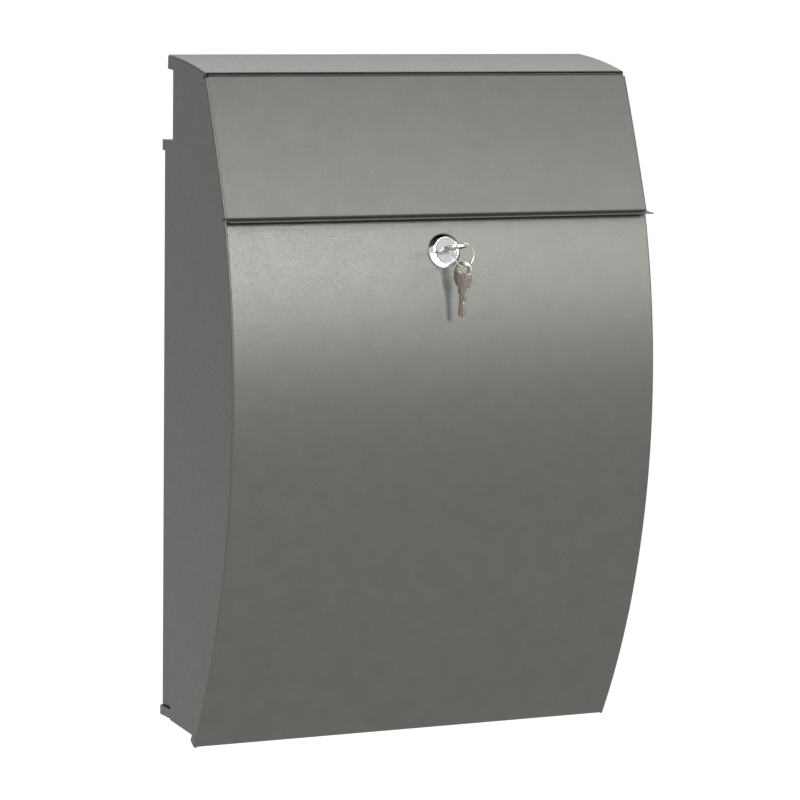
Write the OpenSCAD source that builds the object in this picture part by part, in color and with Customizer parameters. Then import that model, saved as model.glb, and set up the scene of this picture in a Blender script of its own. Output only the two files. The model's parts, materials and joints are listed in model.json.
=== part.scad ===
// Wall mounted mailbox with a hinged mail flap above a hinged, lockable collecting door.
// Millimetres. X runs to the right, Y runs back into the wall, Z runs up.
// The origin is the middle of the four wall holes, on the wall plane.
// The side profile is drawn flat with Y across and height measured from the seam
// between roof and flap, and across() then extrudes it along X.

/* [Body] */
// Width over the outer faces of the two side panels
body_width = 398; // [340:2:460]
// Thickness of the folded sheet
sheet = 1; // [0.8:0.1:1.2]
// Depth of the recessed tray between the body and the wall
pan_depth = 25; // [15:1:30]
// How far the tray's sides stand in from the side panels
pan_inset = 2.6; // [1.5:0.1:6]

/* [Roof] */
// Radius of the roof's gentle curve
roof_radius = 490; // [450:10:600]
// Height of the rim that hangs over the side panels
rim_height = 12.3; // [9:0.1:13]
// How far the rim stands outside the side panels
rim_gap = 0.6; // [0.4:0.1:0.8]

/* [Flap] */
// Lean of the flap from upright, in degrees
flap_lean = 21.2; // [20.6:0.1:21.6]
// Radius of the flap's slight outward bow
flap_radius = 2000; // [1800:100:4000]
// Depth of the flap's side flanges
flap_flange = 10; // [8:0.5:12]
// Gap between a side panel and the flap's flange
flap_gap = 0.7; // [0.5:0.1:0.9]
// How far the finger lip stands out
lip_reach = 11.5; // [8:0.5:13]

/* [Door] */
// Radius of the bowed door
door_radius = 606; // [600:1:612]
// Distance from the wall to the door's furthest point
door_reach = 168.3; // [167.5:0.1:169]
// Depth of the door's side flanges
door_flange = 10; // [8:0.5:12]
// Gap between a side panel and the door's flange
door_gap = 0.4; // [0.3:0.1:0.6]

/* [Hinges] */
// Radius of the flap's hinge rod
flap_rod_radius = 1.2; // [1:0.1:1.3]
// Radius of the door's hinge rod
door_rod_radius = 1.5; // [1.2:0.1:1.6]
// Radial play of the knuckles on the rods
running_gap = 0.05; // [0.03:0.01:0.08]

/* [Lock] */
// Height of the lock's centre below the seam
lock_drop = 151.4; // [149:0.1:153]
// Radius of the lock's bevelled collar
collar_radius = 15; // [14:0.5:17]
// How far the collar stands proud of the door
collar_height = 5; // [4.6:0.1:5.2]
// Reach of the cam from the lock's axis
cam_reach = 24; // [22:0.5:25]

/* [Keys] */
// Length of a key
key_length = 48.6; // [48:0.1:49]
// Width of a key's bow
bow_width = 18.5; // [16:0.5:19]
// Thickness of a key
key_thickness = 1.9; // [1.6:0.1:2]
// Radius of the key ring to the middle of its wire
ring_radius = 9.8; // [9.6:0.1:10]

/* [Wall fixing] */
// Distance between the wall holes across
hole_spacing_x = 300; // [200:10:340]
// Distance between the wall holes up
hole_spacing_z = 400; // [300:10:440]
// Radius of a wall hole
hole_radius = 3; // [2:0.5:4]

/* [Hidden] */

// Facets of the wide sheet curves and of the small round parts
arc_fn = 240;
round_fn = 48;

// Heights and widths of the shell
seam_height = 316;
half_width = body_width / 2;
inner_width = body_width - 2 * sheet;
cap_top = -61.5;
cap_bottom = -71;
pan_bottom = -562;
rim_bottom = -570.5;
frame_edge = 4;

// Roof: the curve runs from the back edge down to the front edge
roof_back = [-17.3, 12.4];
roof_front = [-100.6, 0];
roof_mid = (roof_back + roof_front) / 2;
roof_chord = norm(roof_back - roof_front) / 2;
roof_slope = atan2(roof_back[1] - roof_front[1], roof_back[0] - roof_front[0]);
roof_drop = sqrt(pow(roof_radius, 2) - pow(roof_chord, 2));
roof_centre = roof_mid + roof_drop * [sin(roof_slope), -cos(roof_slope)];
rim_front_height = -3.3;

// Flap: the bow's centre lies far behind the face
flap_top_reach = 102.8;
flap_height = 122;
flap_mid = [-flap_top_reach - tan(flap_lean) * flap_height / 2, -flap_height / 2];
flap_chord = flap_height / cos(flap_lean) / 2;
flap_drop = sqrt(pow(flap_radius, 2) - pow(flap_chord, 2));
flap_centre = flap_mid + flap_drop * [cos(flap_lean), -sin(flap_lean)];
roll_radius = 4;
flap_pin_height = -1.7 - roll_radius;
flap_pin_radius = flap_radius - roll_radius;
flap_pin_turn = 180 - asin((flap_pin_height - flap_centre[1]) / flap_pin_radius);
flap_pin = flap_centre + flap_pin_radius * [cos(flap_pin_turn), sin(flap_pin_turn)];
flap_foot = -121.3;
flap_outer = half_width + flap_gap + sheet;
seat_gap = 0.15;

// Door: an arc between two radial cuts, seen from the centre of its curve
door_belly = -278;
door_centre = [door_radius - door_reach, door_belly];
door_top_turn = 165.18;
door_foot_turn = 210.35;
door_outer = half_width + door_gap + sheet;
door_top_return = 7;
door_foot_return = 10;
door_pin_inset = 5.4;
knuckle_radius = 2.5;
door_pin = door_centre + turned([door_radius - door_pin_inset, -sheet - knuckle_radius],
    door_foot_turn);

// The rolled edges and knuckles end clear of the side panels
roll_width = inner_width - 0.8;
knuckle_length = 40;
knuckle_places = [-150, 0, 150];
rod_length = body_width + 0.2;
flap_ear_radius = 2.6;
door_setback = 1.8;
flap_setback = 4.3;

// Sill under the mail slot, which also catches the lock's cam
sill_front = -136.5;
sill_back = -108;
sill_top = -112.9;
keeper_bottom = -137;
sill_back_lip = 8;
bumper_radius = 4;
bumper_height = -117;
bumper_places = [-150, 150];

// Lock: its axis is square to the door's curve
lock_lean = asin((-lock_drop - door_belly) / door_radius);
lock_place = [0, door_centre[0] - door_radius * cos(lock_lean), -lock_drop];
collar_face_radius = 11.5;
barrel_radius = 9.5;
barrel_length = 17;
plug_radius = 7;
plug_head_radius = 10.22;
plug_head_height = 1.9;
head_gap = 0.08;
boss_radius = 3.5;
cam_thickness = 2;
cam_width = 9;
screw_radius = 1.25;
nut_radius = 13;
nut_thickness = 3.5;
washer_radius = 12.4;
washer_thickness = 0.9;
washer_start = 1.2;

// Keys: the blade's tip sits at the end of the keyway
key_tip = -15.1;
bow_height = 24;
blade_width = 6.3;
shoulder_width = 9;
shoulder_start = 20.5;
key_hole_width = 7.5;
key_hole_height = 6.5;
key_hole_place = key_length - 7.1;
keyway_play = 0.2;
wire_radius = 0.5;
ring_turn = 8.6;
ring_out = 27.2;
ring_shift = [6.5, 0, -7.2];
spare_turn = -53;
spare_lean = 2;
ring_place = lock_place + ring_out * [0, -cos(lock_lean), sin(lock_lean)] + ring_shift;
hang_gap = 0.25;

coat = [0.42, 0.42, 0.40];
zinc = [0.70, 0.71, 0.72];
chrome = [0.85, 0.85, 0.87];
nickel = [0.62, 0.58, 0.50];
rubber = [0.06, 0.06, 0.06];

// A point turned about the origin of the flat profile
function turned(p, a) = [p[0] * cos(a) - p[1] * sin(a), p[0] * sin(a) + p[1] * cos(a)];

// Extrudes the flat profile along X
module across(width, middle = 0) {
    translate([middle - width / 2, 0, seam_height])
        rotate([90, 0, 90])
            linear_extrude(height = width)
                children();
}

// A block given by its two corners, heights measured from the seam
module block(low, high) {
    translate([low[0], low[1], low[2] + seam_height])
        cube([high[0] - low[0], high[1] - low[1], high[2] - low[2]]);
}

// The outer curves, drawn inset by a distance
module roof_disc(inset) {
    translate(roof_centre)
        circle(r = roof_radius - inset, $fn = arc_fn);
}

module flap_disc(inset) {
    translate(flap_centre)
        circle(r = flap_radius - inset, $fn = arc_fn);
}

module door_disc(inset) {
    translate(door_centre)
        circle(r = door_radius - inset, $fn = arc_fn);
}

// The band of the flap between two insets and two heights
module flap_band(depth, low, high) {
    intersection() {
        difference() {
            flap_disc(0);
            flap_disc(depth);
        }
        translate([-200, low])
            square([150, high - low]);
    }
}

// The part of the door's disc between its two radial cuts
module door_wedge() {
    reach = door_radius * 1.2;
    translate(door_centre)
        polygon([
            [0, 0],
            turned([reach, 0], door_top_turn),
            turned([reach, 0], (door_top_turn + door_foot_turn) / 2),
            turned([reach, 0], door_foot_turn)
        ]);
}

module door_band(depth) {
    intersection() {
        difference() {
            door_disc(0);
            door_disc(depth);
        }
        door_wedge();
    }
}

// A side panel with an ear for each hinge rod, set back from the skins it stands behind
module side_shape() {
    panel_foot = -571.4;
    difference() {
        union() {
            intersection() {
                roof_disc(sheet);
                polygon([[-pan_depth, 20], [-pan_depth, panel_foot], [-77.5, -574.5],
                    [-79, -578.5], [-80.5, -580.9], [-83.6, -582.1], [-200, -582.1],
                    [-200, 20]]);
                union() {
                    intersection() {
                        door_disc(door_setback);
                        translate([-200, -600])
                            square([200, 478.5]);
                    }
                    intersection() {
                        flap_disc(flap_setback);
                        translate([-200, -122.5])
                            square([200, 150]);
                    }
                }
            }
            translate(flap_pin)
                circle(r = flap_ear_radius, $fn = round_fn);
        }
        translate(flap_pin)
            circle(r = flap_rod_radius, $fn = round_fn);
        translate(door_pin)
            circle(r = door_rod_radius, $fn = round_fn);
    }
}

module side_left() {
    color(coat)
        across(sheet, -half_width + sheet / 2)
            side_shape();
}

module side_right() {
    color(coat)
        across(sheet, half_width - sheet / 2)
            side_shape();
}

module roof() {
    outer = half_width + rim_gap + sheet;
    color(coat)
        union() {
            across(2 * outer)
                roof_window(sheet);
            for (side = [-1, 1])
                across(sheet, side * (outer - sheet / 2))
                    roof_window(rim_height);
        }
}

// The roof's curve between its back edge and its cut front corner
module roof_window(depth) {
    cut = roof_front[0] + rim_front_height;
    intersection() {
        difference() {
            roof_disc(0);
            roof_disc(depth);
        }
        polygon([[roof_back[0], 20], [roof_back[0], -20], [cut + 20, -20],
            [roof_front[0], rim_front_height], [roof_front[0], 20]]);
    }
}

module back_plate() {
    color(coat)
        difference() {
            across(inner_width)
                intersection() {
                    roof_disc(sheet);
                    translate([-pan_depth - sheet, -571])
                        square([sheet, 600]);
                }
            block([-half_width + frame_edge + sheet, -pan_depth - 2 * sheet, -560],
                [half_width - frame_edge - sheet, -pan_depth + sheet, cap_bottom - 2]);
        }
}

module bottom_plate() {
    color(coat)
        across(inner_width)
            polygon([[-pan_depth - sheet, -571.4], [-pan_depth - sheet, -571.4 + sheet],
                [-73, -574.2 + sheet], [-73, -563], [-74, -563], [-74, -574.2]]);
}

module back_pan() {
    side = half_width - pan_inset;
    color(coat)
        difference() {
            union() {
                block([-side, -sheet, pan_bottom], [side, 0, cap_bottom]);
                block([-side, -pan_depth, pan_bottom], [-side + sheet, 0, cap_bottom]);
                block([side - sheet, -pan_depth, pan_bottom], [side, 0, cap_bottom]);
            }
            for (x = [-1, 1], z = [-1, 1])
                translate([x * hole_spacing_x / 2, 1, z * hole_spacing_z / 2])
                    rotate([90, 0, 0])
                        cylinder(r = hole_radius, h = 3, $fn = round_fn);
        }
}

// A shallow channel as wide as the body, closed at the wall and at both ends
module channel(low, high, plate_low, plate_high) {
    side = half_width - 0.2;
    block([-side, -pan_depth, plate_low], [side, 0, plate_high]);
    block([-side, -sheet, low], [side, 0, high]);
    block([-side, -pan_depth, low], [-side + sheet, 0, high]);
    block([side - sheet, -pan_depth, low], [side, 0, high]);
}

module pan_cap() {
    color(coat)
        union()
            channel(cap_bottom, cap_top, cap_top - sheet, cap_top);
}

module pan_rim() {
    color(coat)
        union()
            channel(rim_bottom, pan_bottom, rim_bottom, rim_bottom + sheet);
}

module slot_sill() {
    color(coat)
        across(inner_width)
            polygon([[sill_front, keeper_bottom], [sill_front + sheet, keeper_bottom],
                [sill_front + sheet, sill_top - sheet], [sill_back - sheet, sill_top - sheet],
                [sill_back - sheet, sill_top - sill_back_lip],
                [sill_back, sill_top - sill_back_lip], [sill_back, sill_top],
                [sill_front, sill_top]]);
}

module flap() {
    slope = -0.247;
    notch = -121;
    color(coat)
        union() {
            across(2 * flap_outer) {
                flap_band(sheet, flap_foot, flap_pin_height + 1.45);
                polygon([[-149, flap_foot], [-149, flap_foot + sheet],
                    [-150 - lip_reach, flap_foot], [-150 - lip_reach, flap_foot - sheet],
                    [-149.5, flap_foot - 0.6]]);
            }
            across(roll_width)
                flap_roll();
            for (side = [-1, 1])
                across(sheet, side * (flap_outer - sheet / 2))
                    intersection() {
                        difference() {
                            flap_disc(0);
                            flap_disc(flap_flange);
                        }
                        polygon([flap_pin + turned([20, 0], 170), flap_pin,
                            flap_pin + turned([25, 0], 315),
                            [-128, notch + slope * 20], [-170, notch - slope * 22]]);
                    }
        }
}

// The flap's rolled top edge, round the hinge rod
module flap_roll() {
    intersection() {
        translate(flap_pin)
            difference() {
                circle(r = roll_radius, $fn = round_fn);
                circle(r = roll_radius - sheet, $fn = round_fn);
            }
        translate(flap_pin)
            polygon([[0, 0], turned([9, 0], 55), turned([9, 0], 110), turned([9, 0], 162)]);
    }
}

module flap_knuckles() {
    color(zinc)
        for (place = knuckle_places)
            across(knuckle_length, place)
                difference() {
                    union() {
                        translate(flap_pin)
                            circle(r = 2.4, $fn = round_fn);
                        translate(flap_pin)
                            rotate(flap_pin_turn)
                                square([roll_radius - sheet, 2.5]);
                    }
                    translate(flap_pin)
                        circle(r = flap_rod_radius + running_gap, $fn = round_fn);
                }
}

module rod(place, radius) {
    translate([-rod_length / 2, place[0], place[1] + seam_height])
        rotate([0, 90, 0])
            cylinder(r = radius, h = rod_length, $fn = round_fn);
}

module flap_rod() {
    color(zinc)
        rod(flap_pin, flap_rod_radius);
}

module door_rod() {
    color(zinc)
        rod(door_pin, door_rod_radius);
}

module flap_bumpers() {
    color(rubber)
        for (place = bumper_places)
            intersection() {
                translate([place, sill_front, bumper_height + seam_height])
                    rotate([90, 0, 0])
                        cylinder(r = bumper_radius, h = 20, $fn = round_fn);
                across(20, place)
                    flap_disc(sheet + seat_gap);
            }
}

module door() {
    color(coat)
        difference() {
            union() {
                across(2 * door_outer)
                    door_band(sheet);
                across(roll_width)
                    translate(door_centre)
                        rotate(door_top_turn)
                            translate([door_radius - door_top_return, 0])
                                square([door_top_return - sheet / 2, sheet]);
                across(roll_width)
                    translate(door_centre)
                        rotate(door_foot_turn)
                            translate([door_radius - door_foot_return, -sheet])
                                square([door_foot_return - sheet / 2, sheet]);
                for (side = [-1, 1])
                    across(sheet, side * (door_outer - sheet / 2))
                        door_band(door_flange);
            }
            at_lock()
                translate([0, 0, -5])
                    cylinder(r = barrel_radius + 0.1, h = 10, $fn = round_fn);
        }
}

module door_knuckles() {
    color(zinc)
        for (place = knuckle_places)
            across(knuckle_length, place)
                difference() {
                    union() {
                        translate(door_pin)
                            circle(r = knuckle_radius - 0.1, $fn = round_fn);
                        translate(door_pin)
                            rotate(door_foot_turn)
                                translate([-1.5, 0])
                                    square([3, knuckle_radius]);
                    }
                    translate(door_pin)
                        circle(r = door_rod_radius + running_gap, $fn = round_fn);
                }
}

// Puts a piece drawn along +Z onto the lock's axis, with Z = 0 on the door's face
module at_lock() {
    translate([lock_place[0], lock_place[1], lock_place[2] + seam_height])
        rotate([90 - lock_lean, 0, 0])
            children();
}

module lock_body() {
    bevel_start = 1.2;
    recess = collar_height - plug_head_height;
    color(chrome)
        at_lock()
            difference() {
                union() {
                    cylinder(r = collar_radius, h = bevel_start, $fn = 2 * round_fn);
                    translate([0, 0, bevel_start])
                        cylinder(r1 = collar_radius, r2 = collar_face_radius,
                            h = collar_height - bevel_start, $fn = 2 * round_fn);
                    translate([0, 0, -barrel_length])
                        cylinder(r = barrel_radius, h = barrel_length + 1, $fn = 2 * round_fn);
                }
                translate([0, 0, recess])
                    cylinder(r = plug_head_radius + head_gap, h = 10, $fn = 2 * round_fn);
                translate([0, 0, -barrel_length - 1])
                    cylinder(r = plug_radius + running_gap, h = 30, $fn = 2 * round_fn);
            }
}

module lock_washer() {
    color(zinc)
        at_lock()
            translate([0, 0, -washer_start - washer_thickness])
                difference() {
                    cylinder(r = washer_radius, h = washer_thickness, $fn = round_fn);
                    translate([0, 0, -1])
                        cylinder(r = barrel_radius, h = washer_thickness + 2,
                            $fn = 2 * round_fn);
                }
}

module lock_nut() {
    color(zinc)
        at_lock()
            translate([0, 0, -washer_start - washer_thickness - nut_thickness])
                difference() {
                    cylinder(r = nut_radius, h = nut_thickness, $fn = 6);
                    translate([0, 0, -1])
                        cylinder(r = barrel_radius, h = nut_thickness + 2,
                            $fn = 2 * round_fn);
                }
}

module lock_plug() {
    head_seat = collar_height - plug_head_height + head_gap;
    keyway = [blade_width + 2 * keyway_play, key_thickness + 2 * keyway_play];
    color(chrome)
        at_lock()
            difference() {
                union() {
                    translate([0, 0, head_seat])
                        cylinder(r = plug_head_radius, h = plug_head_height,
                            $fn = 2 * round_fn);
                    translate([0, 0, -barrel_length])
                        cylinder(r = plug_radius, h = barrel_length + head_seat + 0.5,
                            $fn = 2 * round_fn);
                    translate([0, 0, -barrel_length - cam_thickness])
                        cylinder(r = boss_radius, h = cam_thickness + 1, $fn = round_fn);
                }
                translate([-keyway[0] / 2, -keyway[1] / 2, key_tip - 0.4])
                    cube([keyway[0], keyway[1], 40]);
                translate([0, 0, -barrel_length - cam_thickness - 1])
                    cylinder(r = screw_radius, h = 2.4, $fn = round_fn);
            }
}

module lock_cam() {
    color(zinc)
        at_lock()
            translate([0, 0, -barrel_length - cam_thickness])
                difference() {
                    union() {
                        cylinder(r = 7, h = cam_thickness, $fn = round_fn);
                        translate([-cam_reach, -cam_width / 2, 0])
                            cube([cam_reach, cam_width, cam_thickness]);
                    }
                    translate([0, 0, -1])
                        cylinder(r = boss_radius, h = cam_thickness + 2, $fn = round_fn);
                }
}

module cam_screw() {
    color(zinc)
        at_lock()
            union() {
                translate([0, 0, -barrel_length - cam_thickness - 2])
                    cylinder(r = 4.5, h = 2, $fn = round_fn);
                translate([0, 0, -barrel_length - cam_thickness - 0.5])
                    cylinder(r = screw_radius, h = 1.8, $fn = round_fn);
            }
}

// A flat key drawn with its tip at the origin and its bow upwards
module key_shape() {
    bow_radius = bow_width / 2;
    half = blade_width / 2;
    difference() {
        union() {
            translate([0, key_length - bow_radius])
                circle(r = bow_radius, $fn = round_fn);
            translate([0, key_length - bow_height + bow_radius])
                circle(r = bow_radius, $fn = round_fn);
            translate([-bow_radius, key_length - bow_height + bow_radius])
                square([bow_width, bow_height - bow_width]);
            translate([-shoulder_width / 2, shoulder_start])
                square([shoulder_width, 8]);
            polygon([[-half, 24], [-half, 2], [-half + 2, 0], [0.6, 0], [half - 1, 2],
                [half - 0.4, 4], [half - 1.7, 5.5], [half - 1.7, 6.5], [half - 0.2, 8],
                [half - 1.1, 9.5], [half - 1.1, 10.5], [half - 0.2, 12], [half - 2, 13.8],
                [half - 2, 14.8], [half - 0.1, 16.6], [half, 18], [half, 24]]);
        }
        for (side = [-1, 1])
            translate([side * (key_hole_width - key_hole_height) / 2, key_hole_place])
                circle(r = key_hole_height / 2, $fn = round_fn);
        translate([-(key_hole_width - key_hole_height) / 2,
            key_hole_place - key_hole_height / 2])
            square([key_hole_width - key_hole_height, key_hole_height]);
    }
}

module key() {
    color(nickel)
        at_lock()
            translate([0, key_thickness / 2, key_tip])
                rotate([90, 0, 0])
                    linear_extrude(height = key_thickness)
                        key_shape();
}

module key_ring() {
    color(nickel)
        translate([ring_place[0], ring_place[1], ring_place[2] + seam_height])
            rotate([90, 0, ring_turn])
                rotate_extrude($fn = round_fn)
                    translate([ring_radius, 0])
                        circle(r = wire_radius, $fn = 24);
}

module spare_key() {
    hang = ring_place[2] - ring_radius + wire_radius + hang_gap;
    rest = key_hole_place + key_hole_height / 2;
    color(nickel)
        translate([ring_place[0], ring_place[1], hang + seam_height])
            rotate([0, 0, spare_turn])
                rotate([90, spare_lean, 0])
                    translate([0, -rest, -key_thickness / 2])
                        linear_extrude(height = key_thickness)
                            key_shape();
}

back_pan();
pan_cap();
pan_rim();
back_plate();
side_left();
side_right();
bottom_plate();
roof();
slot_sill();
flap();
flap_knuckles();
flap_rod();
flap_bumpers();
door();
door_knuckles();
door_rod();
lock_body();
lock_washer();
lock_nut();
lock_plug();
lock_cam();
cam_screw();
key();
key_ring();
spare_key();
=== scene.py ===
"""Looks of the wall mounted mailbox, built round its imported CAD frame."""
import json
import math

import bmesh
import bpy
from mathutils import Matrix, Vector


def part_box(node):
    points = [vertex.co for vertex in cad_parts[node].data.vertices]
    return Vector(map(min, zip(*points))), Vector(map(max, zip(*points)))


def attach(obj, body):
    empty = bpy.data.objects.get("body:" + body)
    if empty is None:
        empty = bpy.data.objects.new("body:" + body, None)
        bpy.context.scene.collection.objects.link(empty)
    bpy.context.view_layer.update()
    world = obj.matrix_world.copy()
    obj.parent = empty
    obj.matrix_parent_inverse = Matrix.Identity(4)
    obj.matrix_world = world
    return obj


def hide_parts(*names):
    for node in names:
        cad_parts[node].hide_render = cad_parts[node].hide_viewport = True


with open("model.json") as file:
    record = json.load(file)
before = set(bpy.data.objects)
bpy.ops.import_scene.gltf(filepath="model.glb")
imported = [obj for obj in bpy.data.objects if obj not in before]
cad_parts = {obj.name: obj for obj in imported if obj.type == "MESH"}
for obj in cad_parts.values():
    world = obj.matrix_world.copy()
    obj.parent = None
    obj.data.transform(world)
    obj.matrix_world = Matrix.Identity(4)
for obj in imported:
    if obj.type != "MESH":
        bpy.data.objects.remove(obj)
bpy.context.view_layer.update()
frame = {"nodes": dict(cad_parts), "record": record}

# Sizes in millimetres; the profile's heights are measured from the seam under the roof.
MM = 0.001
SEAM = 316
SHEET = 1.0
BEND = 2.0
FLANGE = 10.0
HALF = 199.0
ROOF_HALF = HALF + 1.6
FLAP_HALF = HALF + 1.7
DOOR_HALF = HALF + 1.4
# Half the width that passes between the side panels.
INNER = 197.6


def polar(centre, radius, angle):
    """A point of the flat profile at an angle, in radians, round a centre."""
    return (centre[0] + radius * math.cos(angle), centre[1] + radius * math.sin(angle))


def far_centre(middle, half_chord, radius, inward):
    """The centre of a wide curve whose chord has this middle and half length."""
    drop = math.sqrt(radius * radius - half_chord * half_chord)
    return (middle[0] + drop * inward[0], middle[1] + drop * inward[1])


ROOF_R = 490.0
ROOF_BACK = (-17.3, 12.4)
ROOF_FRONT = (-100.6, 0.0)
roof_slope = math.atan2(ROOF_BACK[1] - ROOF_FRONT[1], ROOF_BACK[0] - ROOF_FRONT[0])
ROOF_C = far_centre(((ROOF_BACK[0] + ROOF_FRONT[0]) / 2, (ROOF_BACK[1] + ROOF_FRONT[1]) / 2),
                    math.dist(ROOF_BACK, ROOF_FRONT) / 2, ROOF_R,
                    (math.sin(roof_slope), -math.cos(roof_slope)))

FLAP_R = 2000.0
FLAP_TOP = -102.8
FLAP_MIDDLE = 61
FLAP_GAP = 1.7
FLAP_FOOT = -121.0
LIP_CORNER = -121.35
LIP_EDGE = -161.5
LIP_FILLET = 3.2
LIP_TURN = math.radians(93.5)
lean = math.radians(21.2)
FLAP_C = far_centre((FLAP_TOP - math.tan(lean) * FLAP_MIDDLE, -FLAP_MIDDLE),
                    FLAP_MIDDLE / math.cos(lean), FLAP_R,
                    (math.cos(lean), -math.sin(lean)))
ROLL_R = 4.0
pin_turn = math.pi - math.asin((-FLAP_GAP - ROLL_R - FLAP_C[1]) / (FLAP_R - ROLL_R))
FLAP_PIN = polar(FLAP_C, FLAP_R - ROLL_R, pin_turn)

DOOR_R = 606.0
DOOR_C = (DOOR_R - 168.3, -278.0)
DOOR_TOP = math.radians(165.18)
DOOR_FOOT = math.radians(210.35)
TOP_FOLD = 7.0
FOOT_FOLD = 10.0

LOCK_HEIGHT = -151.4
LOCK_HOLE_R = 9.6
LOCK_LEAN = math.asin((LOCK_HEIGHT - DOOR_C[1]) / DOOR_R)
LOCK = Vector((0, DOOR_C[0] - DOOR_R * math.cos(LOCK_LEAN), LOCK_HEIGHT + SEAM)) * MM
LOCK_FRAME = Matrix.Translation(LOCK) @ Matrix.Rotation(math.pi / 2 - LOCK_LEAN, 4, "X")


# ---------------------------------------------------------------- materials

# A noise keeps mostly between these values.
NOISE_LOW = 0.3
NOISE_HIGH = 0.7
# The colour sockets of a mix node.
MIX_A = 6
MIX_B = 7
MIX_RESULT = 2


class Graph:
    """A short way to build a node material."""

    def __init__(self, name, colour, metallic, roughness):
        self.material = bpy.data.materials.new(name)
        self.material.use_nodes = True
        self.tree = self.material.node_tree
        self.shader = self.tree.nodes["Principled BSDF"]
        self.shader.inputs["Base Color"].default_value = (*colour, 1)
        self.shader.inputs["Metallic"].default_value = metallic
        self.shader.inputs["Roughness"].default_value = roughness
        self.coords = self.node("ShaderNodeTexCoord").outputs["Object"]

    def node(self, kind, **settings):
        made = self.tree.nodes.new(kind)
        for key, value in settings.items():
            if key in made.inputs:
                made.inputs[key].default_value = value
            else:
                setattr(made, key, value)
        return made

    def link(self, a, b):
        self.tree.links.new(a, b)

    def stretched(self, scale):
        mapping = self.node("ShaderNodeMapping", Scale=scale)
        self.link(self.coords, mapping.inputs["Vector"])
        return mapping.outputs["Vector"]

    def noise(self, scale, detail=2.0, vector=None, rough=0.5):
        made = self.node("ShaderNodeTexNoise", Scale=scale, Detail=detail, Roughness=rough)
        self.link(vector or self.coords, made.inputs["Vector"])
        return made.outputs["Fac"]

    def ranged(self, value, low, high):
        made = self.node("ShaderNodeMapRange")
        self.link(value, made.inputs["Value"])
        for name, number in (("From Min", NOISE_LOW), ("From Max", NOISE_HIGH),
                             ("To Min", low), ("To Max", high)):
            made.inputs[name].default_value = number
        return made.outputs["Result"]

    def mixed(self, factor, a, b):
        made = self.node("ShaderNodeMix", data_type="RGBA")
        self.link(factor, made.inputs["Factor"])
        for value, socket in ((a, made.inputs[MIX_A]), (b, made.inputs[MIX_B])):
            if isinstance(value, tuple):
                socket.default_value = (*value, 1)
            else:
                self.link(value, socket)
        return made.outputs[MIX_RESULT]

    def bump(self, height, strength, distance):
        made = self.node("ShaderNodeBump", Strength=strength, Distance=distance)
        self.link(height, made.inputs["Height"])
        self.link(made.outputs["Normal"], self.shader.inputs["Normal"])


def powder_coat():
    """Fine-grained metallic grey powder coat: sparkle, faint mottling and a fine orange peel."""
    g = Graph("powder_coat", (0.08, 0.08, 0.075), 0.85, 0.42)
    grain = g.noise(1500, 3.0, rough=0.7)
    mottle = g.noise(60, 3.0)
    dark = g.mixed(g.ranged(grain, 0, 1), (0.060, 0.061, 0.056), (0.085, 0.086, 0.079))
    light = g.mixed(g.ranged(grain, 0, 1), (0.065, 0.066, 0.060), (0.092, 0.093, 0.085))
    g.link(g.mixed(g.ranged(mottle, 0, 1), dark, light), g.shader.inputs["Base Color"])
    g.link(g.ranged(g.noise(420, 2.0), 0.40, 0.47), g.shader.inputs["Roughness"])
    g.bump(g.noise(900, 2.0), 0.25, 0.00012)
    return g.material


def plated(name, dark, light, roughness, brush=(40, 900, 900)):
    """Plated steel with faint draw marks and handling wear."""
    g = Graph(name, light, 1.0, roughness)
    streak = g.noise(1.0, 3.0, g.stretched(brush))
    g.link(g.mixed(g.ranged(streak, 0, 1), dark, light), g.shader.inputs["Base Color"])
    g.link(g.ranged(g.noise(240, 3.0), roughness * 0.75, roughness * 1.35),
           g.shader.inputs["Roughness"])
    g.bump(streak, 0.15, 0.00005)
    return g.material


def rubber():
    g = Graph("rubber", (0.02, 0.02, 0.02), 0.0, 0.7)
    grain = g.noise(700, 3.0)
    g.link(g.mixed(g.ranged(grain, 0, 1), (0.014, 0.014, 0.014), (0.03, 0.03, 0.03)),
           g.shader.inputs["Base Color"])
    g.bump(grain, 0.3, 0.0001)
    return g.material


def pale_floor():
    g = Graph("pale_floor", (0.9, 0.9, 0.9), 0.0, 0.9)
    g.link(g.mixed(g.noise(0.5), (0.34, 0.34, 0.34), (0.36, 0.36, 0.36)),
           g.shader.inputs["Base Color"])
    g.shader.inputs["Emission Color"].default_value = (1, 1, 1, 1)
    g.shader.inputs["Emission Strength"].default_value = 0.86
    return g.material


COAT = powder_coat()
ZINC = plated("zinc", (0.42, 0.43, 0.44), (0.62, 0.63, 0.64), 0.32)
CHROME = plated("chrome", (0.80, 0.81, 0.84), (0.88, 0.89, 0.91), 0.07, (30, 300, 300))
NICKEL = plated("nickel", (0.15, 0.138, 0.115), (0.21, 0.193, 0.163), 0.28)
# A much lighter copy of the nickel for the key bows' cut edges: a painted highlight of their
# bright edge, not the metal's own colour.
NICKEL_PAINTED_HIGHLIGHT = plated("nickel_painted_highlight", (0.62, 0.60, 0.55), (0.82, 0.80, 0.74), 0.20)
BRASS_CUT = plated("brass_cut", (0.42, 0.31, 0.15), (0.66, 0.50, 0.26), 0.26)
RING = plated("ring_steel", (0.50, 0.45, 0.36), (0.74, 0.68, 0.57), 0.16)
RUBBER = rubber()
SLOTS = {"coat": COAT, "zinc": ZINC, "chrome": CHROME, "nickel": NICKEL,
         "ring_steel": RING, "rubber": RUBBER}


# ---------------------------------------------------------------- mesh helpers

def add_object(name, mesh, material):
    mesh.materials.append(material)
    made = bpy.data.objects.new(name, mesh)
    bpy.context.scene.collection.objects.link(made)
    return made


def smooth(mesh, angle=35):
    for face in mesh.polygons:
        face.use_smooth = True
    mesh.set_sharp_from_angle(angle=math.radians(angle))


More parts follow.
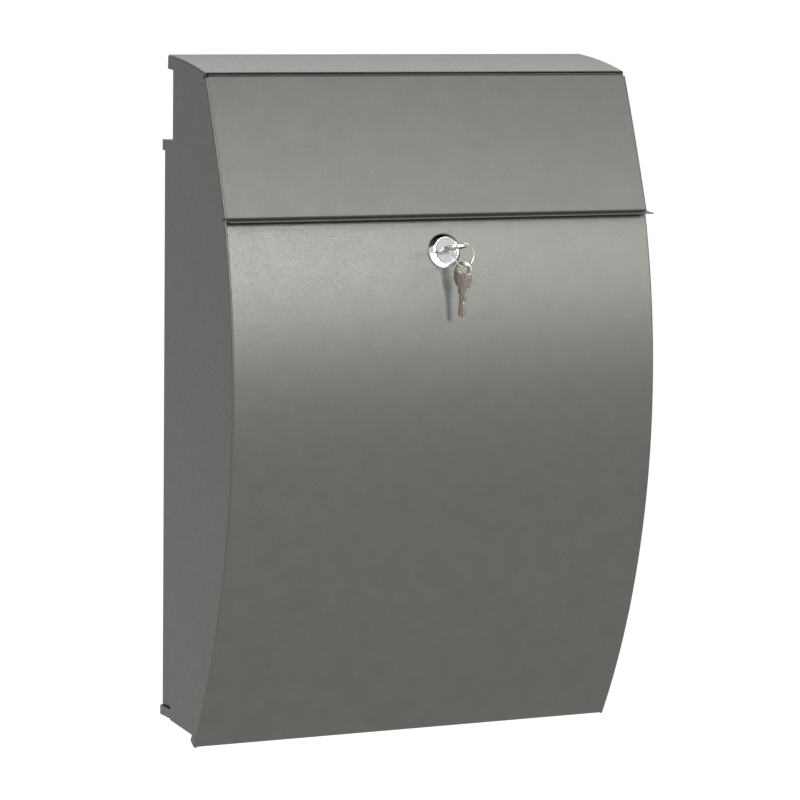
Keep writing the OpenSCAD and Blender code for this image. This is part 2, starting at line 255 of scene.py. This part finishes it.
def fine_edges(piece, width, segments=2, angle=40):
    """Breaks the sharp edges of a piece by a small bevel."""
    bevel = piece.modifiers.new("edges", "BEVEL")
    bevel.width = width * MM
    bevel.segments = segments
    bevel.limit_method = "ANGLE"
    bevel.angle_limit = math.radians(angle)
    weighted = piece.modifiers.new("shading", "WEIGHTED_NORMAL")
    weighted.keep_sharp = True


def place(piece, body, node):
    """Puts a piece on its body, in place of the CAD node."""
    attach(piece, body)
    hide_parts(node)


def mesh_of(bm, name):
    mesh = bpy.data.meshes.new(name)
    bm.to_mesh(mesh)
    bm.free()
    return mesh


SHEET_EDGE = 0.22


def sheet_shell(name, patches):
    """A folded sheet: patches are grids of (x, y, z, nx, ny, nz) on the outer face, None where
    the sheet is cut away. The inner face lies one thickness inside, and the cut edges close it."""
    points = []
    normals = []
    index = {}
    quads = []

    def number(v):
        key = tuple(round(c, 4) for c in v[:3])
        if key not in index:
            index[key] = len(points)
            points.append(Vector(v[:3]))
            normals.append(Vector(v[3:]).normalized())
        return index[key]

    for grid in patches:
        for i in range(len(grid) - 1):
            for j in range(len(grid[0]) - 1):
                corners = (grid[i][j], grid[i + 1][j], grid[i + 1][j + 1], grid[i][j + 1])
                if None not in corners:
                    quads.append([number(c) for c in corners])
    total = len(points)
    edge_use = {}
    faces = []
    for q in quads:
        faces.append(q)
        faces.append([total + k for k in reversed(q)])
        for a, b in zip(q, q[1:] + q[:1]):
            edge_use.setdefault(frozenset((a, b)), []).append((a, b))
    for uses in edge_use.values():
        if len(uses) == 1:
            a, b = uses[0]
            faces.append([b, a, total + a, total + b])
    inner = [p - n * SHEET for p, n in zip(points, normals)]
    mesh = bpy.data.meshes.new(name)
    mesh.from_pydata([((p + Vector((0, 0, SEAM))) * MM)[:] for p in points + inner], [], faces)
    bm = bmesh.new()
    bm.from_mesh(mesh)
    bmesh.ops.recalc_face_normals(bm, faces=bm.faces)
    bm.to_mesh(mesh)
    bm.free()
    smooth(mesh)
    made = add_object(name, mesh, COAT)
    fine_edges(made, SHEET_EDGE)
    return made


FACE_STEPS = 12
FLANGE_STEPS = 3
BEND_STEPS = 6


def section(half, depth):
    """Across a folded channel, from one flange's free edge to the other's:
    (x, depth behind the face, nx, share of the face's normal)."""
    out = []
    for k in range(FLANGE_STEPS):
        s = depth - (depth - BEND) * k / FLANGE_STEPS
        out.append((-half, s, -1.0, 0.0))
    for k in range(BEND_STEPS + 1):
        a = math.pi / 2 * (1 - k / BEND_STEPS)
        out.append((-half + BEND - BEND * math.sin(a), BEND - BEND * math.cos(a),
                    -math.sin(a), math.cos(a)))
    turned = list(out)
    for k in range(1, FACE_STEPS):
        out.append((-half + BEND + (2 * (half - BEND)) * k / FACE_STEPS, 0.0, 0.0, 1.0))
    for x, s, nx, nr in reversed(turned):
        out.append((-x, s, -nx, nr))
    return out


def face_columns(columns):
    """The columns of the flat face, out to the width that passes between the side panels."""
    flat = [c for c in columns if c[1] == 0 and abs(c[0]) < INNER]
    return [(-INNER, 0, 0, 1)] + flat + [(INNER, 0, 0, 1)]


def at(row, column, slide=0.0):
    """A point of the outer face: a row is (y, z, ny, nz), a column as section() gives it.
    slide moves it down along the face."""
    y, z, ny, nz = row
    x, s, nx, nr = column
    ty, tz = -nz, ny
    return (x, y - ny * s + ty * slide, z - nz * s + tz * slide, nx, ny * nr, nz * nr)


def arc_rows(centre, radius, start, end, steps):
    """Rows of an arc whose outer face looks away from its centre."""
    rows = []
    for k in range(steps + 1):
        a = start + (end - start) * k / steps
        y, z = polar(centre, radius, a)
        rows.append((y, z, math.cos(a), math.sin(a)))
    return rows


# ---------------------------------------------------------------- folded sheets

def build_roof():
    """The bowed roof with its side rims, mitred at the front."""
    start = math.atan2(ROOF_BACK[1] - ROOF_C[1], ROOF_BACK[0] - ROOF_C[0])
    end = math.atan2(ROOF_FRONT[1] - ROOF_C[1], ROOF_FRONT[0] - ROOF_C[0])
    rim = 12.3
    mitre = ROOF_FRONT[0] - 3.3
    grid = []
    for row in arc_rows(ROOF_C, ROOF_R, start, end, 40):
        y, z, ny, nz = row
        reach = min(rim, (y + z - mitre) / (ny + nz))
        cells = []
        for x, s, nx, nr in section(ROOF_HALF, rim):
            if s > BEND:
                s = BEND + (s - BEND) * (reach - BEND) / (rim - BEND)
            cells.append(at(row, (x, s, nx, nr)))
        grid.append(cells)
    return sheet_shell("roof_sheet", [grid])


# Side bend's slide along the face, per millimetre beyond or short of the pin's depth.
SLIDE_BEYOND = 0.443
SLIDE_SHORT = 0.196
SLIDE_ROWS = 5
LIP_STEPS = 8
LIP_FLAT_STEPS = 4
LIP_EASE_ROWS = 6


def build_flap():
    """The mail flap: rolled round its rod at the top, flanged at the sides, with a finger lip."""
    columns = section(FLAP_HALF, FLANGE)
    centre = face_columns(columns)
    foot_turn = math.pi - math.asin((FLAP_FOOT - FLAP_C[1]) / FLAP_R)
    back = LIP_FILLET * math.tan((foot_turn - LIP_TURN) / 2)
    last = (polar(FLAP_C, FLAP_R, foot_turn)[0] + math.sin(foot_turn) * back,
            LIP_CORNER - math.cos(foot_turn) * back)
    last_turn = math.atan2(last[1] - FLAP_C[1], last[0] - FLAP_C[0]) % (2 * math.pi)
    last = polar(FLAP_C, FLAP_R, last_turn)
    main = arc_rows(FLAP_C, FLAP_R, pin_turn, last_turn, 44)
    hub = (last[0] + LIP_FILLET * math.cos(last_turn), last[1] + LIP_FILLET * math.sin(last_turn))
    lip = [main[-1]]
    for k in range(1, LIP_STEPS + 1):
        a = last_turn + (LIP_TURN - last_turn) * k / LIP_STEPS
        lip.append((hub[0] - LIP_FILLET * math.cos(a), hub[1] - LIP_FILLET * math.sin(a),
                    math.cos(a), math.sin(a)))
    y, z, ny, nz = lip[-1]
    for k in range(1, LIP_FLAT_STEPS + 1):
        step = (LIP_EDGE - y) * k / LIP_FLAT_STEPS
        lip.append((y + step, z - step * ny / nz, ny, nz))
    roll = arc_rows(FLAP_PIN, ROLL_R, math.radians(56), pin_turn, 14)[:-1] + [main[0]]

    def with_inner(cells, row):
        """A row of points with the two at the inner width put in."""
        left = [c for c in cells if c[0] < -INNER]
        middle = [c for c in cells if abs(c[0]) < INNER]
        right = [c for c in cells if c[0] > INNER]
        return left + [at(row, centre[0])] + middle + [at(row, centre[-1])] + right

    roll_grid = [[at(row, c) for c in centre] for row in roll]
    main_grid = []
    for k, row in enumerate(main):
        fade = max(0.0, 1 - k / SLIDE_ROWS)
        cells = []
        for c in columns:
            slide = max(c[1] - ROLL_R, 0) * SLIDE_BEYOND + max(ROLL_R - c[1], 0) * SLIDE_SHORT
            cells.append(at(row, c, -slide * fade * (1 - c[3])))
        main_grid.append(with_inner(cells, row))
    lip_grid = []
    for k, row in enumerate(lip):
        flat = min(1.0, k / LIP_EASE_ROWS)
        tilt = 1 - flat * flat * (3 - 2 * flat)
        cells = [at(row, (x, s * tilt, nx * tilt, 1 - (1 - nr) * tilt))
                 for x, s, nx, nr in columns if nr > 0.0]
        lip_grid.append(with_inner(cells, row))
    return sheet_shell("flap_sheet", [roll_grid, main_grid, lip_grid])


FOLD_STEPS = 4


def build_door():
    """The bowed door: flanged at the sides, folded in at both ends, with a hole for the lock."""
    columns = section(DOOR_HALF, FLANGE)
    bend_turn = BEND / DOOR_R
    outer_left = [c for c in columns if c[0] < -INNER]
    outer_right = [c for c in columns if c[0] > INNER]
    centre = face_columns(columns)
    arc = arc_rows(DOOR_C, DOOR_R, DOOR_TOP + bend_turn, DOOR_FOOT - bend_turn, 150)
    ends = arc_rows(DOOR_C, DOOR_R, DOOR_TOP, DOOR_FOOT, 1)
    full = [ends[0]] + arc + [ends[1]]

    def fold(cut, way, depth):
        """The return at one end: from its free edge round the bend to the face."""
        up = (-way * math.sin(cut), way * math.cos(cut))
        rows = []
        for k in range(FOLD_STEPS):
            y, z = polar(DOOR_C, DOOR_R - depth + (depth - BEND) * k / FOLD_STEPS, cut)
            rows.append((y, z, up[0], up[1]))
        hub = polar(DOOR_C, DOOR_R - BEND, cut - way * BEND / (DOOR_R - BEND))
        face = cut - way * bend_turn
        for k in range(BEND_STEPS + 1):
            a = math.pi / 2 * k / BEND_STEPS
            n = (math.cos(a) * up[0] + math.sin(a) * math.cos(face),
                 math.cos(a) * up[1] + math.sin(a) * math.sin(face))
            rows.append((hub[0] + BEND * n[0], hub[1] + BEND * n[1], n[0], n[1]))
        return rows

    top = fold(DOOR_TOP, -1, TOP_FOLD)
    foot = fold(DOOR_FOOT, 1, FOOT_FOLD)
    top[-1] = arc[0]
    foot[-1] = arc[-1]
    middle = top + arc[1:-1] + foot[::-1]
    grids = [[[at(r, c) for c in centre] for r in middle],
             [[at(r, c) for c in outer_left + [centre[0]]] for r in full],
             [[at(r, c) for c in [centre[-1]] + outer_right] for r in full]]
    door = sheet_shell("door_sheet", grids)
    hole = [(0, -4), (LOCK_HOLE_R, -4), (LOCK_HOLE_R, 4), (0, 4)]
    drill = lathe("door_drill", hole, 96, COAT)
    cut_by(door, drill)
    return door


def evaluated_mesh(piece):
    graph = bpy.context.evaluated_depsgraph_get()
    return bpy.data.meshes.new_from_object(piece.evaluated_get(graph))


def curve_mesh(name, curve):
    """The mesh of a filled or bevelled curve; the curve's own object is removed."""
    rough = bpy.data.objects.new(name, curve)
    bpy.context.scene.collection.objects.link(rough)
    bpy.context.view_layer.update()
    mesh = evaluated_mesh(rough)
    bpy.data.objects.remove(rough)
    return mesh


def cut_by(piece, *tools):
    """Cuts the tools out of a piece, keeps its bevels for after the cut, and removes the tools."""
    kept = [(m.width, m.segments, m.angle_limit) for m in piece.modifiers if m.type == "BEVEL"]
    piece.modifiers.clear()
    for tool in tools:
        cut = piece.modifiers.new("cut", "BOOLEAN")
        cut.operation = "DIFFERENCE"
        cut.solver = "EXACT"
        cut.object = tool
    bpy.context.view_layer.update()
    mesh = evaluated_mesh(piece)
    piece.modifiers.clear()
    piece.data = mesh
    smooth(mesh)
    for tool in tools:
        bpy.data.objects.remove(tool)
    for width, segments, angle in kept:
        fine_edges(piece, width / MM, segments, math.degrees(angle))


# ---------------------------------------------------------------- lock and keys

def lathe(name, profile, steps, material):
    """Turns (radius, height) pairs, in millimetres, round the lock's axis."""
    bm = bmesh.new()
    rings = []
    for r, h in profile:
        if r < 1e-6:
            rings.append([bm.verts.new((0, 0, h * MM))])
            continue
        rings.append([bm.verts.new((r * MM * math.cos(2 * math.pi * k / steps),
                                    r * MM * math.sin(2 * math.pi * k / steps), h * MM))
                      for k in range(steps)])
    for a, b in zip(rings, rings[1:]):
        for k in range(steps):
            n = (k + 1) % steps
            corners = [a[k % len(a)], a[n % len(a)], b[n % len(b)], b[k % len(b)]]
            corners = [c for i, c in enumerate(corners) if c not in corners[:i]]
            if len(corners) > 2:
                bm.faces.new(corners)
    bmesh.ops.recalc_face_normals(bm, faces=bm.faces)
    mesh = mesh_of(bm, name)
    mesh.transform(LOCK_FRAME)
    smooth(mesh, 28)
    return add_object(name, mesh, material)


def build_collar():
    """The chromed collar with its bevel, face and threaded barrel, turned in one piece."""
    profile = [(7.05, -17), (9.3, -17), (9.5, -16.8)]
    for k in range(14):
        low = -16.0 + k
        profile += [(9.5, low), (9.28, low + 0.35), (9.5, low + 0.7)]
    profile += [(9.5, 0.02), (14.8, 0.02), (15.0, 0.2), (15.0, 0.9), (14.93, 1.15), (14.8, 1.35),
                (11.95, 4.55), (11.75, 4.78), (11.5, 4.93), (11.2, 5.0), (10.75, 5.0),
                (10.62, 4.95), (10.5, 4.8), (10.45, 3.1), (7.05, 3.1), (7.05, -17)]
    return lathe("lock_collar", profile, 128, CHROME)


def oval(cx, cy, rx, ry, steps, start=0.0, end=2 * math.pi, power=2.0):
    """Points of a squared oval."""
    out = []
    for k in range(steps):
        a = start + (end - start) * k / (steps if end - start > 6.28 else steps - 1)
        c, s = math.cos(a), math.sin(a)
        out.append((cx + rx * math.copysign(abs(c) ** (2 / power), c),
                    cy + ry * math.copysign(abs(s) ** (2 / power), s)))
    return out


KEY_LENGTH = 48.6
KEY_FLAT = 0.83
KEY_BEVEL = 0.12
KEY_HOLE = (0, 41.5, 3.75, 3.25)
SHOULDER = 19
TEETH = 0.2

def key_outline():
    """The flat outline of a key, tip at the origin and bow upwards."""
    start = math.radians(-62)
    bow = oval(0, KEY_LENGTH - 12.1, 9.1, 12.1, 60, start, math.pi * 2 - start - math.pi, 2.15)
    left = [(-4.4, 24.2), (-4.3, 21.3), (-3.9, 20.6), (-3.15, 20.3), (-3.15, 2.6), (-2.7, 1.4),
            (-1.6, 0.3), (-0.7, 0.0)]
    right = [(0.3, 0.1), (1.4, 1.2), (2.1, 2.4), (2.75, 3.9), (2.0, 5.0), (1.5, 5.7), (1.5, 6.6),
             (2.3, 7.5), (2.9, 8.2), (2.6, 9.0), (2.05, 9.7), (2.05, 10.6), (2.7, 11.4),
             (2.95, 12.2), (2.0, 13.2), (1.25, 14.0), (1.25, 14.9), (2.2, 15.8), (3.05, 16.7),
             (3.15, 18.0), (3.15, 20.3), (3.9, 20.6), (4.3, 21.3), (4.4, 24.2)]
    return bow + left + right


def build_key(name, matrix):
    """A stamped key: bevelled outline with a slot in its bow and a milled groove in each face."""
    curve = bpy.data.curves.new(name, "CURVE")
    curve.dimensions = "2D"
    curve.fill_mode = "BOTH"
    curve.extrude = KEY_FLAT * MM
    curve.bevel_depth = KEY_BEVEL * MM
    curve.bevel_resolution = 1
    curve.offset = -KEY_BEVEL * MM
    for loop in (key_outline(), oval(*KEY_HOLE, 32, power=2.6)):
        spline = curve.splines.new("POLY")
        spline.points.add(len(loop) - 1)
        for p, (x, y) in zip(spline.points, loop):
            p.co = (x * MM, y * MM, 0, 1)
        spline.use_cyclic_u = True
    mesh = curve_mesh(name + "_curve", curve)
    bm = bmesh.new()
    bm.from_mesh(mesh)
    bmesh.ops.remove_doubles(bm, verts=bm.verts, dist=0.00001)
    bm.to_mesh(mesh)
    bm.free()
    mesh.materials.clear()
    key = add_object(name, mesh, NICKEL)
    key.data.materials.append(BRASS_CUT)
    key.data.materials.append(NICKEL_PAINTED_HIGHLIGHT)
    tools = []
    for side, x, wide in ((1, -1.1, 1.1), (1, 0.9, 0.5), (-1, 0.1, 1.0)):
        bm = bmesh.new()
        bmesh.ops.create_cube(bm, size=1)
        groove = mesh_of(bm, name + "_groove")
        groove.transform(Matrix.Translation((x * MM, 9.5 * MM, side * 0.95 * MM))
                         @ Matrix.Diagonal((wide * MM, 21.5 * MM, 0.9 * MM, 1)))
        tools.append(add_object(name + f"_groove_{len(tools)}", groove, NICKEL))
    cut_by(key, *tools)
    # The bow's side faces take the much lighter nickel, a painted highlight; the side faces of the
    # teeth take cut brass.
    for face in key.data.polygons:
        centre = face.center
        if abs(face.normal.z) < 0.5:
            if centre.y > SHOULDER * MM:
                face.material_index = 2
            elif centre.x > TEETH * MM:
                face.material_index = 1
    key.data.transform(matrix)
    return key


RING_R = 9.8
WIRE_R = 0.5
STRAND_R = 0.40
STRAND_SHIFT = 0.37
RING_TURN = math.radians(8.6)


def build_ring(centre):
    """A split ring: two turns of wire, with the step where one passes the other."""
    turn = Matrix.Translation(centre) @ Matrix.Rotation(RING_TURN, 4, "Z") \
        @ Matrix.Rotation(math.pi / 2, 4, "X")
    steps = 96
    path = []
    for k in range(2 * steps + 1):
        a = 2 * math.pi * k / steps
        t = k / steps - 1
        step = max(-1.0, min(1.0, t * 5))
        step = step * (1.5 - 0.5 * step * step)
        path.append(turn @ Vector((RING_R * MM * math.cos(a + 2.2),
                                   RING_R * MM * math.sin(a + 2.2), STRAND_SHIFT * MM * step)))
    curve = bpy.data.curves.new("key_ring_wire", "CURVE")
    curve.dimensions = "3D"
    curve.bevel_depth = STRAND_R * MM
    curve.bevel_resolution = 4
    curve.use_fill_caps = True
    spline = curve.splines.new("POLY")
    spline.points.add(len(path) - 1)
    for p, v in zip(spline.points, path):
        p.co = (*v, 1)
    mesh = curve_mesh("ring_curve", curve)
    mesh.materials.clear()
    smooth(mesh, 50)
    return add_object("key_ring_wire", mesh, RING)


# ---------------------------------------------------------------- assembly

for row in frame["record"]["subparts"]:
    piece = frame["nodes"][row["node"]]
    piece.data.materials.clear()
    piece.data.materials.append(SLOTS[row["material_slot"]])
for name in ("back_pan", "pan_cap", "pan_rim", "back_plate", "bottom_plate", "slot_sill",
             "side_left", "side_right"):
    piece = frame["nodes"][name]
    weld = piece.modifiers.new("weld", "WELD")
    weld.merge_threshold = 0.00001
    fine_edges(piece, 0.45 if name in ("pan_cap", "pan_rim") else 0.25, 3)
for name in ("lock_plug", "lock_nut", "lock_cam", "lock_washer"):
    piece = frame["nodes"][name]
    weld = piece.modifiers.new("weld", "WELD")
    weld.merge_threshold = 0.000005
    fine_edges(piece, 0.12)

place(build_roof(), "shell", "roof")
place(build_flap(), "flap", "flap")
place(build_door(), "door", "door")
place(build_collar(), "door", "lock_body")

KEY_DEPTH = 15.1
HOLE_PLAY = 0.25
SPARE_HANG = 44.75
key_frame = (LOCK_FRAME @ Matrix.Translation((0, 0, -KEY_DEPTH * MM))
             @ Matrix.Rotation(math.pi / 2, 4, "X"))
place(build_key("key_cut", key_frame), "key", "key")
ring_low, ring_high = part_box("key_ring")
ring_centre = (ring_low + ring_high) / 2
place(build_ring(ring_centre), "key_ring", "key_ring")
hang = ring_centre - Vector((0, 0, (RING_R - WIRE_R - HOLE_PLAY) * MM))
spare_frame = (Matrix.Translation(hang) @ Matrix.Rotation(math.radians(-53), 4, "Z")
               @ Matrix.Rotation(math.radians(2), 4, "Y") @ Matrix.Rotation(math.pi / 2, 4, "X")
               @ Matrix.Translation((0, -SPARE_HANG * MM, 0)))
place(build_key("spare_key_cut", spare_frame), "spare_key", "spare_key")


# ---------------------------------------------------------------- stage, light and camera

FLOOR_HALF = 400
FLOOR_HEIGHT = -1.2


def build_floor():
    bm = bmesh.new()
    bmesh.ops.create_grid(bm, x_segments=8, y_segments=8, size=FLOOR_HALF)
    mesh = mesh_of(bm, "floor")
    mesh.transform(Matrix.Translation((0, 0, FLOOR_HEIGHT)))
    floor = add_object("floor", mesh, pale_floor())


def softbox(name, azimuth, elevation, distance, width, height, power):
    """An area light in degrees, metres and watts; azimuth 0 is in front, 90 to the right."""
    light = bpy.data.lights.new(name, "AREA")
    light.shape = "RECTANGLE"
    light.size = width
    light.size_y = height
    light.energy = power
    made = bpy.data.objects.new(name, light)
    a = math.radians(azimuth)
    e = math.radians(elevation)
    way = Vector((math.sin(a) * math.cos(e), -math.cos(a) * math.cos(e), math.sin(e)))
    made.location = way * distance
    made.rotation_mode = "QUATERNION"
    made.rotation_quaternion = way.to_track_quat("Z", "Y")
    bpy.context.scene.collection.objects.link(made)


def build_world():
    """A grey world, white up to the high softboxes and darker overhead."""
    world = bpy.data.worlds.new("studio")
    bpy.context.scene.world = world
    world.use_nodes = True
    tree = world.node_tree
    back = tree.nodes["Background"]
    coords = tree.nodes.new("ShaderNodeTexCoord")
    split = tree.nodes.new("ShaderNodeSeparateXYZ")
    ramp = tree.nodes.new("ShaderNodeValToRGB")
    tree.links.new(coords.outputs["Generated"], split.inputs[0])
    tree.links.new(split.outputs["Z"], ramp.inputs["Fac"])
    tree.links.new(ramp.outputs["Color"], back.inputs["Color"])
    ramp.color_ramp.elements[0].position = 0.62
    ramp.color_ramp.elements[0].color = (1, 1, 1, 1)
    ramp.color_ramp.elements[1].position = 0.92
    ramp.color_ramp.elements[1].color = (0.10, 0.12, 0.18, 1)
    back.inputs["Strength"].default_value = 0.62


CAMERA_PLACE = (-1.3765, -3.0212, 0.1102 + SEAM * MM)
CAMERA_LENS = 167.2


def build_camera():
    yaw = math.radians(25.0)
    pitch = math.radians(7.01)
    roll = math.radians(0.70)
    ahead = Vector((math.sin(yaw), math.cos(yaw), 0))
    right = Vector((math.cos(yaw), -math.sin(yaw), 0))
    up = Vector((0, 0, 1))
    look = ahead * math.cos(pitch) - up * math.sin(pitch)
    lift = up * math.cos(pitch) + ahead * math.sin(pitch)
    side = right * math.cos(roll) + lift * math.sin(roll)
    top = lift * math.cos(roll) - right * math.sin(roll)
    data = bpy.data.cameras.new("camera")
    data.sensor_width = 36
    data.lens = CAMERA_LENS
    data.clip_start = 0.1
    data.clip_end = 200
    camera = bpy.data.objects.new("camera", data)
    turn = Matrix((side, top, -look)).transposed().to_4x4()
    camera.matrix_world = Matrix.Translation(CAMERA_PLACE) @ turn
    bpy.context.scene.collection.objects.link(camera)
    bpy.context.scene.camera = camera


build_floor()
build_world()
softbox("key_softbox", 13, 18.0, 4.0, 0.8, 0.7, 108)
softbox("right_softbox", 44, 18, 4.0, 1.6, 0.8, 54)
softbox("high_softbox", 20, 40, 4.0, 2.0, 1.2, 34)
softbox("left_strip", -60, 23, 3.5, 0.7, 1.8, 110)
softbox("rear_softbox", 157, 42, 4.0, 4.0, 1.5, 60)
build_camera()
bpy.context.scene.view_settings.view_transform = "Standard"
